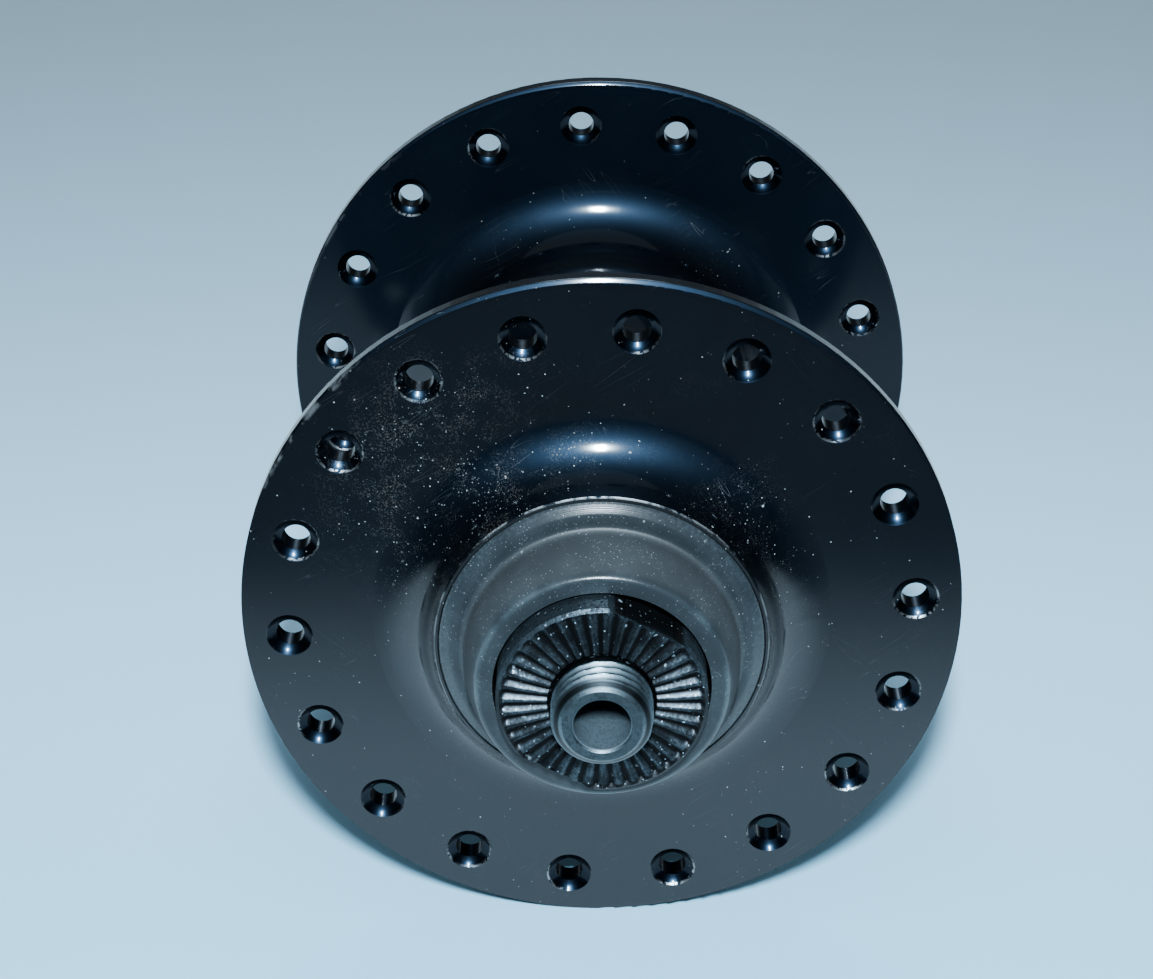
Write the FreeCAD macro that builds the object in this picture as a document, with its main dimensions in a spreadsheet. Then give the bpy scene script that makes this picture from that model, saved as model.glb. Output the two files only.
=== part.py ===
"""Front hub of a bicycle wheel with loose-ball bearings, in millimetres.

The axle lies along Y and the hub's middle is the origin, with +Z up. The left side is -Y
and the right side is +Y. The shell turns with its cups and dust caps round the axle, which
carries the cones, spacers and locknuts. Each side has a ring of balls in a retainer.
"""
import FreeCAD, Part
import math
import os
import Sketcher

LEFT = -1
RIGHT = 1
SIDE_NAMES = {LEFT: "left", RIGHT: "right"}

# Driving sizes in millimetres and degrees, kept in the sheet under these names
DRIVING_SIZES = {
    # Shell: two flanges, the barrel between them and a boss outside each
    "flange_spacing": 52.3,
    "flange_thickness": 3.3,
    "flange_diameter": 66.6,
    "rim_round": 0.5,
    "waist_diameter": 25.0,
    "waist_length": 12.0,
    "root_diameter": 33.0,
    "root_land": 2.0,
    "root_fillet": 6.2,
    "boss_wall": 0.5,
    "boss_height": 5.2,
    "boss_foot_reach": 5.95,
    "boss_edge": 0.15,
    "shell_bore": 18.0,
    # Spoke holes, countersunk with a ball-nosed cutter on both faces of a flange
    "spoke_holes_per_flange": 18,
    "spoke_circle_to_rim": 4.3,
    "spoke_hole_diameter": 2.6,
    "countersink_diameter": 4.35,
    "countersink_ball_radius": 3.0,
    "left_holes_turn": -4.33,
    # Bearings
    "bearing_spacing": 52.4,
    "balls_per_side": 10,
    "ball_diameter": 4.7625,
    "ball_circle_diameter": 16.5,
    "race_gap": 0.03,
    "cup_diameter": 25.0,
    "cup_hole_diameter": 14.0,
    "cup_floor": 1.5,
    "cup_mouth": 2.6,
    "cup_corner": 0.6,
    "cone_diameter": 14.8,
    "cone_nose_length": 2.2,
    "cone_across_flats": 13.0,
    "cone_flat_width": 4.0,
    # Retainer: a pressed ring beside the balls, with a finger between each two of them
    "retainer_thickness": 0.5,
    "retainer_offset": 1.9,
    "retainer_gap": 0.25,
    "pocket_diameter": 3.2,
    "finger_width": 1.2,
    "finger_thickness": 0.5,
    "finger_reach": 0.6,
    # Dust cap: a shoulder on the boss, then a domed nose round the locknut
    "cap_seat_diameter": 29.5,
    "cap_seat_depth": 2.0,
    "cap_wall": 1.0,
    "cap_edge": 0.15,
    "cap_shoulder_rise": 1.1,
    "cap_crease_diameter": 24.8,
    "cap_crease_fillet": 1.0,
    "cap_height": 7.3,
    "cap_nose_diameter": 22.4,
    "cap_nose_fillet": 0.5,
    "cap_side_radius": 10.8,
    "cap_running_gap": 0.35,
    # Axle and the pieces screwed on it, which meet at half the thread's depth
    "axle_diameter": 9.0,
    "thread_diameter": 8.35,
    "thread_start": 0.15,
    "axle_bore": 5.04,
    "axle_end_length": 3.9,
    "axle_end_chamfer": 1.0,
    "bore_chamfer": 0.25,
    "locknut_spacing": 85.2,
    "locknut_diameter": 18.7,
    "locknut_thickness": 5.6,
    "locknut_across_flats": 16.85,
    "locknut_chamfer": 0.5,
    "locknut_teeth": 39,
    "tooth_depth": 0.45,
    "tooth_gap_width": 0.8,
    "tooth_gap_floor": 0.15,
    "left_locknut_turn": 28.5,
    "right_locknut_turn": 74.0,
    "spacer_gap": 0.05,
    "spacer_diameter": 15.0,
    "spacer_thickness": 2.4,
}

# Cutters reach this far past the faces that they cut, and less at the locknut's teeth, where
# they would run into each other
CUT_OVER = 0.5
GAP_CUT_OVER = 0.05

FULL_TURN = 360
LOCAL_Y = FreeCAD.Vector(0, 1, 0)
LOCAL_Z = FreeCAD.Vector(0, 0, 1)

doc = FreeCAD.newDocument("front_hub")
sheet = doc.addObject("Spreadsheet::Sheet", "Sizes")
for row, (name, value) in enumerate(DRIVING_SIZES.items(), start=1):
    sheet.set(f"A{row}", name)
    sheet.set(f"B{row}", str(value))
    sheet.setAlias(f"B{row}", name)
doc.recompute()


class Size:
    """A number together with the sheet formula that gives it."""

    def __init__(self, value, formula):
        self.value = value
        self.formula = formula

    def __add__(self, other):
        return Size(self.value + plain(other), f"({self.formula} + {formula(other)})")

    def __sub__(self, other):
        return Size(self.value - plain(other), f"({self.formula} - {formula(other)})")

    def __mul__(self, other):
        return Size(self.value * plain(other), f"({self.formula} * {formula(other)})")

    def __truediv__(self, other):
        return Size(self.value / plain(other), f"({self.formula} / {formula(other)})")

    def __rtruediv__(self, other):
        return Size(plain(other) / self.value, f"({formula(other)} / {self.formula})")

    __rmul__ = __mul__

    def root(self):
        return Size(math.sqrt(self.value), f"sqrt({self.formula})")


def plain(number):
    return number.value if isinstance(number, Size) else number


def formula(number):
    return number.formula if isinstance(number, Size) else f"({number})"


def size(name):
    return Size(float(sheet.get(name)), f"Sizes.{name}")


def bind(target, **sizes):
    """Sets properties of an object and ties each to its formula in the sheet."""
    for name, number in sizes.items():
        whole = isinstance(getattr(target, name), int)
        setattr(target, name, round(plain(number)) if whole else plain(number))
        target.setExpression(name, formula(number))


def new_body(name):
    body = doc.addObject("PartDesign::Body", name)
    body.Label = name
    return body


def origin_part(body, role):
    return [part for part in body.Origin.OriginFeatures if part.Role == role][0]


def new_sketch(body, plane, name):
    sketch = body.newObject("Sketcher::SketchObject", f"{body.Name}_{name}")
    sketch.AttachmentSupport = [(origin_part(body, plane), "")]
    sketch.MapMode = "FlatFace"
    return sketch


def shift_sketch(sketch, distance):
    """Moves a sketch along its own normal."""
    rotation = sketch.AttachmentOffset.Rotation
    sketch.AttachmentOffset = FreeCAD.Placement(LOCAL_Z * distance.value, rotation)
    sketch.setExpression("AttachmentOffset.Base.z", distance.formula)


def turn_sketch(sketch, axis, angle):
    """Turns a sketch about an axis of its own."""
    base = sketch.AttachmentOffset.Base
    sketch.AttachmentOffset = FreeCAD.Placement(base, FreeCAD.Rotation(axis, angle.value))
    sketch.setExpression("AttachmentOffset.Rotation.Angle", angle.formula)


def constrain(sketch, kind, parts, number):
    index = sketch.addConstraint(Sketcher.Constraint(kind, *parts, plain(number)))
    sketch.setExpression(f"Constraints[{index}]", formula(number))


def pin_point(sketch, edge, end, x, y):
    """Holds one end of an edge at x and y from the sketch's origin."""
    root_point = (-1, 1)
    constrain(sketch, "DistanceX", (*root_point, edge, end), x)
    constrain(sketch, "DistanceY", (*root_point, edge, end), y)


def arc_between(start, end, radius, turn):
    """An arc from start to end that turns left for turn 1 and right for turn -1."""
    chord = end - start
    rise = math.sqrt(max(radius ** 2 - (chord.Length / 2) ** 2, 0))
    leftwards = FreeCAD.Vector(-chord.y, chord.x, 0).normalize()
    centre = (start + end) * 0.5 + leftwards * (rise * turn)
    circle = Part.Circle(centre, LOCAL_Z, radius)
    first, last = (start, end) if turn > 0 else (end, start)
    return Part.ArcOfCircle(circle, circle.parameter(first), circle.parameter(last))


def draw_outline(sketch, corners, arcs=None):
    """Draws a closed outline through corners, given as pairs of sizes.

    arcs maps the number of a corner to the radius and turn of the arc that leaves it, and
    every other corner is left on a straight line.
    """
    arcs = arcs or {}
    points = [FreeCAD.Vector(plain(x), plain(y), 0) for x, y in corners]
    first_edge = sketch.GeometryCount
    ends = []
    for number, point in enumerate(points):
        following = points[(number + 1) % len(points)]
        if number in arcs:
            radius, turn = arcs[number]
            sketch.addGeometry(arc_between(point, following, plain(radius), turn))
            ends.append((1, 2) if turn > 0 else (2, 1))
        else:
            sketch.addGeometry(Part.LineSegment(point, following))
            ends.append((1, 2))
    for number, (x, y) in enumerate(corners):
        edge = first_edge + number
        before = first_edge + (number - 1) % len(corners)
        sketch.addConstraint(Sketcher.Constraint(
            "Coincident", before, ends[number - 1][1], edge, ends[number][0]))
        pin_point(sketch, edge, ends[number][0], x, y)
        if number in arcs:
            constrain(sketch, "Radius", (edge,), arcs[number][0])


def both_ends(half, arcs):
    """Completes an outline that is the same at both ends of the axle."""
    mirrored = [(radius, along * -1) for radius, along in reversed(half)]
    last_edge = 2 * len(half) - 2
    mirrored_arcs = {last_edge - number: arc for number, arc in arcs.items()}
    return half + mirrored, {**arcs, **mirrored_arcs}


def add_feature(body, kind, name, sketch=None, **sizes):
    feature = body.newObject(f"PartDesign::{kind}", f"{body.Name}_{name}")
    if sketch is not None:
        feature.Profile = (sketch, [""])
        sketch.Visibility = False
    bind(feature, **sizes)
    return feature


def turn_section(body, corners, arcs=None):
    """Makes a round piece from half of its section: radius across, axle upwards."""
    sketch = new_sketch(body, "XY_Plane", "section")
    draw_outline(sketch, corners, arcs)
    turned = add_feature(body, "Revolution", "turned", sketch)
    turned.ReferenceAxis = (sketch, ["V_Axis"])
    doc.recompute()


def repeat_round_axle(body, originals, count, name):
    pattern = add_feature(body, "PolarPattern", name)
    pattern.Originals = originals
    pattern.Axis = (origin_part(body, "Y_Axis"), [""])
    pattern.Angle = FULL_TURN
    bind(pattern, Occurrences=count)
    body.Tip = pattern
    doc.recompute()


def cut_both_ways(body, sketch, length, name):
    """Cuts a sketched shape to half the length on each side of its plane."""
    pocket = add_feature(body, "Pocket", name, sketch)
    pocket.SideType = "Symmetric"
    bind(pocket, Length=length)
    doc.recompute()
    return pocket


def cut_two_flats(body, across, outer_radius, middle, width):
    """Cuts two flats, above and below the axle, round this middle along the axle."""
    sketch = new_sketch(body, "XZ_Plane", "flats")
    # This plane's normal points along -Y
    shift_sketch(sketch, middle * -1)
    half_width = outer_radius + CUT_OVER
    for up in (1, -1):
        near = across / 2 * up
        far = half_width * up
        draw_outline(sketch, [
            (half_width * -1, near), (half_width, near), (half_width, far),
            (half_width * -1, far)])
    cut_both_ways(body, sketch, width, "flats_cut")


def round_circle(body, radius, along, fillet, name):
    """Rounds the circular edge of this radius at this place along the axle."""
    tolerance = 1e-4
    found = []
    for number, edge in enumerate(body.Tip.Shape.Edges, start=1):
        curve = edge.Curve
        if not isinstance(curve, Part.Circle):
            continue
        same_radius = abs(curve.Radius - radius.value) < tolerance
        if same_radius and abs(curve.Center.y - along.value) < tolerance:
            found.append(f"Edge{number}")
    if not found:
        raise RuntimeError(f"{body.Label} has no edge for {name}")
    base = body.Tip
    rounded = add_feature(body, "Fillet", name)
    rounded.Base = (base, found)
    bind(rounded, Radius=fillet)
    doc.recompute()


# Places that several pieces share, as radii or distances from the hub's middle
flange_inside = size("flange_spacing") / 2 - size("flange_thickness") / 2
flange_outside = size("flange_spacing") / 2 + size("flange_thickness") / 2
boss_face = flange_outside + size("boss_height")
cap_seat_radius = size("cap_seat_diameter") / 2
boss_radius = cap_seat_radius + size("boss_wall")
cap_seat_floor = boss_face - size("cap_seat_depth")
ball_circle_radius = size("ball_circle_diameter") / 2
ball_place = size("bearing_spacing") / 2
race_radius = size("ball_diameter") / 2 + size("race_gap")
cup_radius = size("cup_diameter") / 2
cup_inside_radius = ball_circle_radius + race_radius
cup_back = ball_place - race_radius - size("cup_floor")
axle_radius = size("axle_diameter") / 2
thread_radius = size("thread_diameter") / 2
cone_radius = size("cone_diameter") / 2
locknut_radius = size("locknut_diameter") / 2
locknut_face = size("locknut_spacing") / 2
locknut_back = locknut_face - size("locknut_thickness")
spacer_back = locknut_back - size("spacer_thickness")
axle_end = locknut_face + size("axle_end_length")
ball_step = FULL_TURN / size("balls_per_side")


def drill_spoke_holes(body, side, turn):
    """Drills and countersinks one flange's ring of spoke holes."""
    name = SIDE_NAMES[side]
    middle = size("flange_diameter") / 2 - size("spoke_circle_to_rim")
    hole_radius = size("spoke_hole_diameter") / 2
    sink_radius = size("countersink_diameter") / 2
    ball = size("countersink_ball_radius")
    hole = middle + hole_radius
    sink = middle + sink_radius
    ball_depth_at_hole = (ball * ball - hole_radius * hole_radius).root()
    sink_depth = ball_depth_at_hole - (ball * ball - sink_radius * sink_radius).root()
    inside = (flange_inside - CUT_OVER) * side
    outside = (flange_outside + CUT_OVER) * side
    sketch = new_sketch(body, "XY_Plane", f"{name}_hole")
    turn_sketch(sketch, LOCAL_Y, turn)
    draw_outline(sketch, [
        (middle, inside), (sink, inside), (sink, flange_inside * side),
        (hole, (flange_inside + sink_depth) * side),
        (hole, (flange_outside - sink_depth) * side), (sink, flange_outside * side),
        (sink, outside), (middle, outside)], {2: (ball, side), 4: (ball, side)})
    hole_axis = Part.LineSegment(
        FreeCAD.Vector(middle.value, inside.value, 0),
        FreeCAD.Vector(middle.value, outside.value, 0))
    axis_edge = sketch.addGeometry(hole_axis, True)
    pin_point(sketch, axis_edge, 1, middle, inside)
    pin_point(sketch, axis_edge, 2, middle, outside)
    groove = add_feature(body, "Groove", f"{name}_hole_cut", sketch)
    groove.ReferenceAxis = (sketch, ["Axis0"])
    doc.recompute()
    repeat_round_axle(body, [groove], size("spoke_holes_per_flange"), f"{name}_holes")


def make_hub_shell():
    """The forged and turned shell: a barrel, two flanges and the boss outside each."""
    body = new_body("hub_shell")
    waist_radius = size("waist_diameter") / 2
    root_radius = size("root_diameter") / 2
    fillet = size("root_fillet")
    flange_radius = size("flange_diameter") / 2
    rim_round = size("rim_round")
    foot_radius = boss_radius + size("boss_foot_reach")
    edge = size("boss_edge")
    boss_corner = boss_face - edge
    bore_radius = size("shell_bore") / 2
    # The boss grows out of the flange in one hollow arc, tangent to the flange's face
    arc_height = boss_corner - flange_outside
    arc_width = foot_radius - boss_radius
    boss_arc = (arc_height * arc_height + arc_width * arc_width) / (arc_height * 2)
    # The barrel swells from its waist to its root in two equal arcs
    waist_end = size("waist_length") / 2
    fillet_end = flange_inside - fillet
    swell_end = fillet_end - size("root_land")
    swell_length = swell_end - waist_end
    swell_height = root_radius - waist_radius
    swell_arc = (swell_length * swell_length + swell_height * swell_height) / (
        swell_height * 4)
    half = [
        (waist_radius, waist_end),
        ((waist_radius + root_radius) / 2, (waist_end + swell_end) / 2),
        (root_radius, swell_end),
        (root_radius, fillet_end),
        (root_radius + fillet, flange_inside),
        (flange_radius - rim_round, flange_inside),
        (flange_radius, flange_inside + rim_round),
        (flange_radius, flange_outside - rim_round),
        (flange_radius - rim_round, flange_outside),
        (foot_radius, flange_outside),
        (boss_radius, boss_corner),
        (boss_radius - edge, boss_face),
        (cap_seat_radius + edge, boss_face),
        (cap_seat_radius, boss_corner),
        (cap_seat_radius, cap_seat_floor),
        (cup_radius, cap_seat_floor),
        (cup_radius, cup_back),
        (bore_radius, cup_back),
    ]
    arcs = {
        0: (swell_arc, -1), 1: (swell_arc, 1), 3: (fillet, -1), 5: (rim_round, 1),
        7: (rim_round, 1), 9: (boss_arc, -1)}
    turn_section(body, *both_ends(half, arcs))
    half_step = FULL_TURN / 2 / size("spoke_holes_per_flange")
    drill_spoke_holes(body, LEFT, size("left_holes_turn"))
    drill_spoke_holes(body, RIGHT, size("left_holes_turn") + half_step)
    return body


def make_bearing_cup(side):
    """A pressed steel cup, open outwards, with a hollow race for the balls."""
    body = new_body(f"bearing_cup_{SIDE_NAMES[side]}")
    hole_radius = size("cup_hole_diameter") / 2
    corner = size("cup_corner")
    mouth = ball_place + size("cup_mouth")
    race_floor = ball_place - race_radius
    corners = [
        (cup_radius, mouth),
        (cup_inside_radius, mouth),
        (cup_inside_radius, ball_place),
        (ball_circle_radius, race_floor),
        (hole_radius, race_floor),
        (hole_radius, cup_back),
        (cup_radius - corner, cup_back),
        (cup_radius, cup_back + corner),
    ]
    corners = [(radius, along * side) for radius, along in corners]
    turn_section(body, corners, {2: (race_radius, -side)})
    return body


def make_dust_cap(side):
    """A cap pressed into the boss, with a shoulder and a nose round the locknut."""
    body = new_body(f"dust_cap_{SIDE_NAMES[side]}")
    wall = size("cap_wall")
    edge = size("cap_edge")
    shoulder = boss_face + edge
    crease = shoulder + size("cap_shoulder_rise")
    crease_radius = size("cap_crease_diameter") / 2
    nose = boss_face + size("cap_height")
    nose_radius = size("cap_nose_diameter") / 2
    hole_radius = locknut_radius + size("cap_running_gap")
    corners = [
        (cap_seat_radius, cap_seat_floor),
        (cap_seat_radius, boss_face),
        (cap_seat_radius - edge, shoulder),
        (crease_radius, crease),
        (nose_radius, nose),
        (hole_radius, nose),
        (hole_radius, nose - wall),
        (nose_radius - wall, nose - wall),
        (crease_radius - wall, crease - wall),
        (cap_seat_radius - wall, shoulder - wall),
        (cap_seat_radius - wall, cap_seat_floor),
    ]
    corners = [(radius, along * side) for radius, along in corners]
    turn_section(body, corners, {3: (size("cap_side_radius"), side)})
    crease_fillet = size("cap_crease_fillet")
    round_circle(body, crease_radius, crease * side, crease_fillet, "crease_round")
    nose_fillet = size("cap_nose_fillet")
    round_circle(body, nose_radius, nose * side, nose_fillet, "nose_round")
    return body


def make_cone(side):
    """A cone screwed on the axle, with its race facing the cup and two wrench flats."""
    body = new_body(f"cone_{SIDE_NAMES[side]}")
    nose_radius = ball_circle_radius - race_radius
    nose_face = ball_place - size("cone_nose_length")
    shoulder_reach = ball_circle_radius - cone_radius
    race_length = (race_radius * race_radius - shoulder_reach * shoulder_reach).root()
    corners = [
        (thread_radius, nose_face),
        (nose_radius, nose_face),
        (nose_radius, ball_place),
        (cone_radius, ball_place + race_length),
        (cone_radius, spacer_back),
        (thread_radius, spacer_back),
    ]
    corners = [(radius, along * side) for radius, along in corners]
    turn_section(body, corners, {2: (race_radius, -side)})
    width = size("cone_flat_width")
    middle = (spacer_back - width / 2) * side
    cut_two_flats(body, size("cone_across_flats"), cone_radius, middle, width)
    return body


def make_spacer(side):
    """A plain steel washer between the cone and the locknut."""
    body = new_body(f"spacer_{SIDE_NAMES[side]}")
    outer_radius = size("spacer_diameter") / 2
    hole_radius = axle_radius + size("spacer_gap")
    turn_section(body, [
        (hole_radius, spacer_back * side), (outer_radius, spacer_back * side),
        (outer_radius, locknut_back * side), (hole_radius, locknut_back * side)])
    return body


def make_locknut(side):
    """A round locknut with two wrench flats and radial teeth that bite the dropout."""
    name = SIDE_NAMES[side]
    body = new_body(f"locknut_{name}")
    chamfer = size("locknut_chamfer")
    corners = [
        (thread_radius, locknut_back),
        (locknut_radius - chamfer, locknut_back),
        (locknut_radius, locknut_back + chamfer),
        (locknut_radius, locknut_face - chamfer),
        (locknut_radius - chamfer, locknut_face),
        (thread_radius, locknut_face),
    ]
    corners = [(radius, along * side) for radius, along in corners]
    turn_section(body, corners)
    thickness = size("locknut_thickness")
    middle = (locknut_face - thickness / 2) * side
    across = size("locknut_across_flats")
    cut_two_flats(body, across, locknut_radius, middle, thickness + CUT_OVER)
    cut_face_teeth(body, side)
    turn = size(f"{name}_locknut_turn")
    body.Placement = FreeCAD.Placement(
        FreeCAD.Vector(), FreeCAD.Rotation(LOCAL_Y, turn.value))
    body.setExpression("Placement.Rotation.Angle", turn.formula)
    return body


def cut_face_teeth(body, side):
    """Cuts one V-shaped gap outwards from the axle and repeats it round the face."""
    depth = size("tooth_depth")
    mouth_half = size("tooth_gap_width") / 2
    floor_half = size("tooth_gap_floor") / 2
    slope = (mouth_half - floor_half) / depth
    past_face = locknut_face + GAP_CUT_OVER
    mouth_past_face = mouth_half + slope * GAP_CUT_OVER
    gap_start = thread_radius - GAP_CUT_OVER
    gap_end = locknut_radius + CUT_OVER
    # This plane's own x runs along the axle and its normal points outwards
    sketch = new_sketch(body, "YZ_Plane", "gap")
    shift_sketch(sketch, (gap_start + gap_end) / 2)
    draw_outline(sketch, [
        (past_face * side, mouth_past_face),
        ((locknut_face - depth) * side, floor_half),
        ((locknut_face - depth) * side, floor_half * -1),
        (past_face * side, mouth_past_face * -1)])
    gap = cut_both_ways(body, sketch, gap_end - gap_start, "gap_cut")
    repeat_round_axle(body, [gap], size("locknut_teeth"), "teeth")


def make_axle():
    """The hollow axle, with a bore for a clamping skewer and a full thread at its open ends."""
    body = new_body("axle")
    bore_radius = size("axle_bore") / 2
    bore_chamfer = size("bore_chamfer")
    chamfer = size("axle_end_chamfer")
    open_thread = locknut_face + size("thread_start")
    half = [
        (thread_radius, open_thread),
        (axle_radius, open_thread),
        (axle_radius, axle_end - chamfer),
        (axle_radius - chamfer, axle_end),
        (bore_radius + bore_chamfer, axle_end),
        (bore_radius, axle_end - bore_chamfer),
    ]
    turn_section(body, *both_ends(half, {}))
    return body


def make_balls(side):
    """The separate bearing balls of one side, evenly spaced in their race."""
    balls = []
    for number in range(round(size("balls_per_side").value)):
        ball = doc.addObject("Part::Sphere", f"ball_{SIDE_NAMES[side]}_{number + 1:02d}")
        ball.Label = ball.Name
        bind(ball, Radius=size("ball_diameter") / 2)
        angle = math.radians(number * ball_step.value)
        ball.Placement.Base = FreeCAD.Vector(
            ball_circle_radius.value * math.cos(angle), ball_place.value * side,
            ball_circle_radius.value * math.sin(angle))
        turned = f"({number} * {ball_step.formula} * 1 deg)"
        ball.setExpression("Placement.Base.x", f"{ball_circle_radius.formula} * cos{turned}")
        ball.setExpression("Placement.Base.y", formula(ball_place * side))
        ball.setExpression("Placement.Base.z", f"{ball_circle_radius.formula} * sin{turned}")
        balls.append(ball)
    return balls


def make_ball_retainer(side):
    """A thin ring with a pocket over each ball and a finger between each two balls."""
    body = new_body(f"ball_retainer_{SIDE_NAMES[side]}")
    gap = size("retainer_gap")
    inner_radius = cone_radius + gap
    outer_radius = cup_inside_radius - gap
    inner_face = ball_place + size("retainer_offset")
    outer_face = inner_face + size("retainer_thickness")
    turn_section(body, [
        (inner_radius, inner_face * side), (outer_radius, inner_face * side),
        (outer_radius, outer_face * side), (inner_radius, outer_face * side)])

    # Fingers start inside the ring and reach a little past the balls' middle
    finger_end = ball_place - size("finger_reach")
    finger_length = outer_face - finger_end
    sketch = new_sketch(body, "XZ_Plane", "finger")
    turn_sketch(sketch, LOCAL_Z, ball_step / 2)
    shift_sketch(sketch, (outer_face + finger_end) / 2 * -side)
    half_width = size("finger_width") / 2
    bottom = outer_radius - size("finger_thickness")
    # The finger's outer corners lie on the ring's outer circle
    top = (outer_radius * outer_radius - half_width * half_width).root()
    draw_outline(sketch, [
        (bottom, half_width * -1), (top, half_width * -1), (top, half_width),
        (bottom, half_width)])
    finger = add_feature(body, "Pad", "finger_pad", sketch)
    finger.SideType = "Symmetric"
    bind(finger, Length=finger_length)
    doc.recompute()

    sketch = new_sketch(body, "XZ_Plane", "pocket")
    shift_sketch(sketch, (inner_face + outer_face) / 2 * -side)
    pocket_radius = size("pocket_diameter") / 2
    centre = FreeCAD.Vector(ball_circle_radius.value, 0, 0)
    circle = sketch.addGeometry(Part.Circle(centre, LOCAL_Z, pocket_radius.value))
    sketch.addConstraint(Sketcher.Constraint("PointOnObject", circle, 3, -1))
    constrain(sketch, "DistanceX", (-1, 1, circle, 3), ball_circle_radius)
    constrain(sketch, "Radius", (circle,), pocket_radius)
    pocket = cut_both_ways(body, sketch, size("retainer_thickness") * 2, "pocket_cut")
    repeat_round_axle(body, [finger, pocket], size("balls_per_side"), "crown")
    return body


parts = [make_hub_shell(), make_axle()]
for hub_side in (LEFT, RIGHT):
    parts.append(make_bearing_cup(hub_side))
    parts.append(make_dust_cap(hub_side))
    parts.append(make_cone(hub_side))
    parts.append(make_spacer(hub_side))
    parts.append(make_locknut(hub_side))
    parts.append(make_ball_retainer(hub_side))
    parts.extend(make_balls(hub_side))
doc.recompute()

# Nothing is written unless every object and every piece is sound
for feature in doc.Objects:
    if "Invalid" in feature.State or "Error" in feature.State:
        raise RuntimeError(f"{feature.Label} failed: {feature.State}")
for part in parts:
    shape = part.Shape
    if shape.isNull() or not shape.isValid() or len(shape.Solids) != 1:
        raise RuntimeError(f"{part.Label} is not one valid solid")

os.makedirs("parts", exist_ok=True)
for part in parts:
    part.Shape.exportStep(f"parts/{part.Label}.step")
    print(f"{part.Label}: {part.Shape.Volume:.1f} mm3")
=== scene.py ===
"""Front hub of a bicycle wheel: finishes, thread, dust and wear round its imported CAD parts."""

import math

import bmesh
import bpy
from mathutils import Matrix, Vector


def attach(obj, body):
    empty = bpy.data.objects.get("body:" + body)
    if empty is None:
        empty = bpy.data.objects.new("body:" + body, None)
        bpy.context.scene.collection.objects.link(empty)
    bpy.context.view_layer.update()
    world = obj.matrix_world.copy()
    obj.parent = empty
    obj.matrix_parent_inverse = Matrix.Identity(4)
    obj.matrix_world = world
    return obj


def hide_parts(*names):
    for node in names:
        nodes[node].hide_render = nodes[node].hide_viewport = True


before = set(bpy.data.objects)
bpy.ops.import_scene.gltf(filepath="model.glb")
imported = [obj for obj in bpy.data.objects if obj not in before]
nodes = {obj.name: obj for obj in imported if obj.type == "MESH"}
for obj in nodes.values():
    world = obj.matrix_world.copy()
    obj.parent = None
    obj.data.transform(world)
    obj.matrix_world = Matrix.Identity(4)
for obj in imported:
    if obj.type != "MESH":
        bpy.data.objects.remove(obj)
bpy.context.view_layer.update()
MM = 0.001

# Camera: it looks down on the left axle end from close by, so the near flange looks larger
# than the far one.
VIEW_AZIMUTH = math.radians(0.10)
VIEW_ELEVATION = math.radians(27.577)
VIEW_ROLL = math.radians(0.33)
CAMERA_DISTANCE = 240.2 * MM
LOOK_AT = Vector((-2.368, -27.8, 13.267)) * MM
LENS_MM = 83.24
SENSOR_MM = 36.0
CLIP_START = 10 * MM

back = Vector((
    math.sin(VIEW_AZIMUTH) * math.cos(VIEW_ELEVATION),
    -math.cos(VIEW_AZIMUTH) * math.cos(VIEW_ELEVATION),
    math.sin(VIEW_ELEVATION)))
level_right = Vector((math.cos(VIEW_AZIMUTH), math.sin(VIEW_AZIMUTH), 0))
level_up = back.cross(level_right)
right = level_right * math.cos(VIEW_ROLL) + level_up * math.sin(VIEW_ROLL)
up = level_up * math.cos(VIEW_ROLL) - level_right * math.sin(VIEW_ROLL)
camera = bpy.data.objects.new("camera", bpy.data.cameras.new("camera"))
bpy.context.scene.collection.objects.link(camera)
camera.data.lens = LENS_MM
camera.data.sensor_width = SENSOR_MM
camera.data.clip_start = CLIP_START
camera.matrix_world = Matrix.Translation(LOOK_AT + back * CAMERA_DISTANCE) @ Matrix(
    (right, up, back)).transposed().to_4x4()
bpy.context.scene.camera = camera

# Light: a small upright lamp above the camera makes the blue-white glints down the middle, a
# wide weak one overhead fills in, and one behind lights the far end. The room is dim.
LAMP_COLOR = (0.70, 0.87, 1.0)
FLASH_ELEVATION = math.radians(37.5)
FLASH_DISTANCE = 330 * MM
FLASH_LEFT = 0.008
FLASH_SIZE = (20 * MM, 50 * MM)
FLASH_POWER = 4.0
FILL_PLACE = Vector((-60, 200, 640)) * MM
FILL_SIZE = (900 * MM, 900 * MM)
FILL_POWER = 0.42
BACK_PLACE = Vector((0, 480, 480)) * MM
BACK_SIZE = (300 * MM, 300 * MM)
BACK_POWER = 2.2
ROOM_COLOR = (0.105, 0.105, 0.105, 1)
ROOM_SEEN = (0.25, 0.33, 0.37, 1)
ROOM_REFLECTED = (0.030, 0.036, 0.042, 1)


def hang_lamp(name, place, size, power):
    """An oval lamp that points at the hub. Its size is its width and height."""
    lamp = bpy.data.lights.new(name, "AREA")
    lamp.shape = "ELLIPSE"
    lamp.size, lamp.size_y = size
    lamp.energy = power
    lamp.color = LAMP_COLOR
    hung = bpy.data.objects.new(name, lamp)
    hung.location = place
    hung.rotation_euler = (-place).to_track_quat("-Z", "Y").to_euler()
    bpy.context.scene.collection.objects.link(hung)


flash_way = Vector((-FLASH_LEFT, -math.cos(FLASH_ELEVATION), math.sin(FLASH_ELEVATION)))
hang_lamp("flash", flash_way * FLASH_DISTANCE, FLASH_SIZE, FLASH_POWER)
hang_lamp("fill", FILL_PLACE, FILL_SIZE, FILL_POWER)
hang_lamp("back", BACK_PLACE, BACK_SIZE, BACK_POWER)

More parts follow.
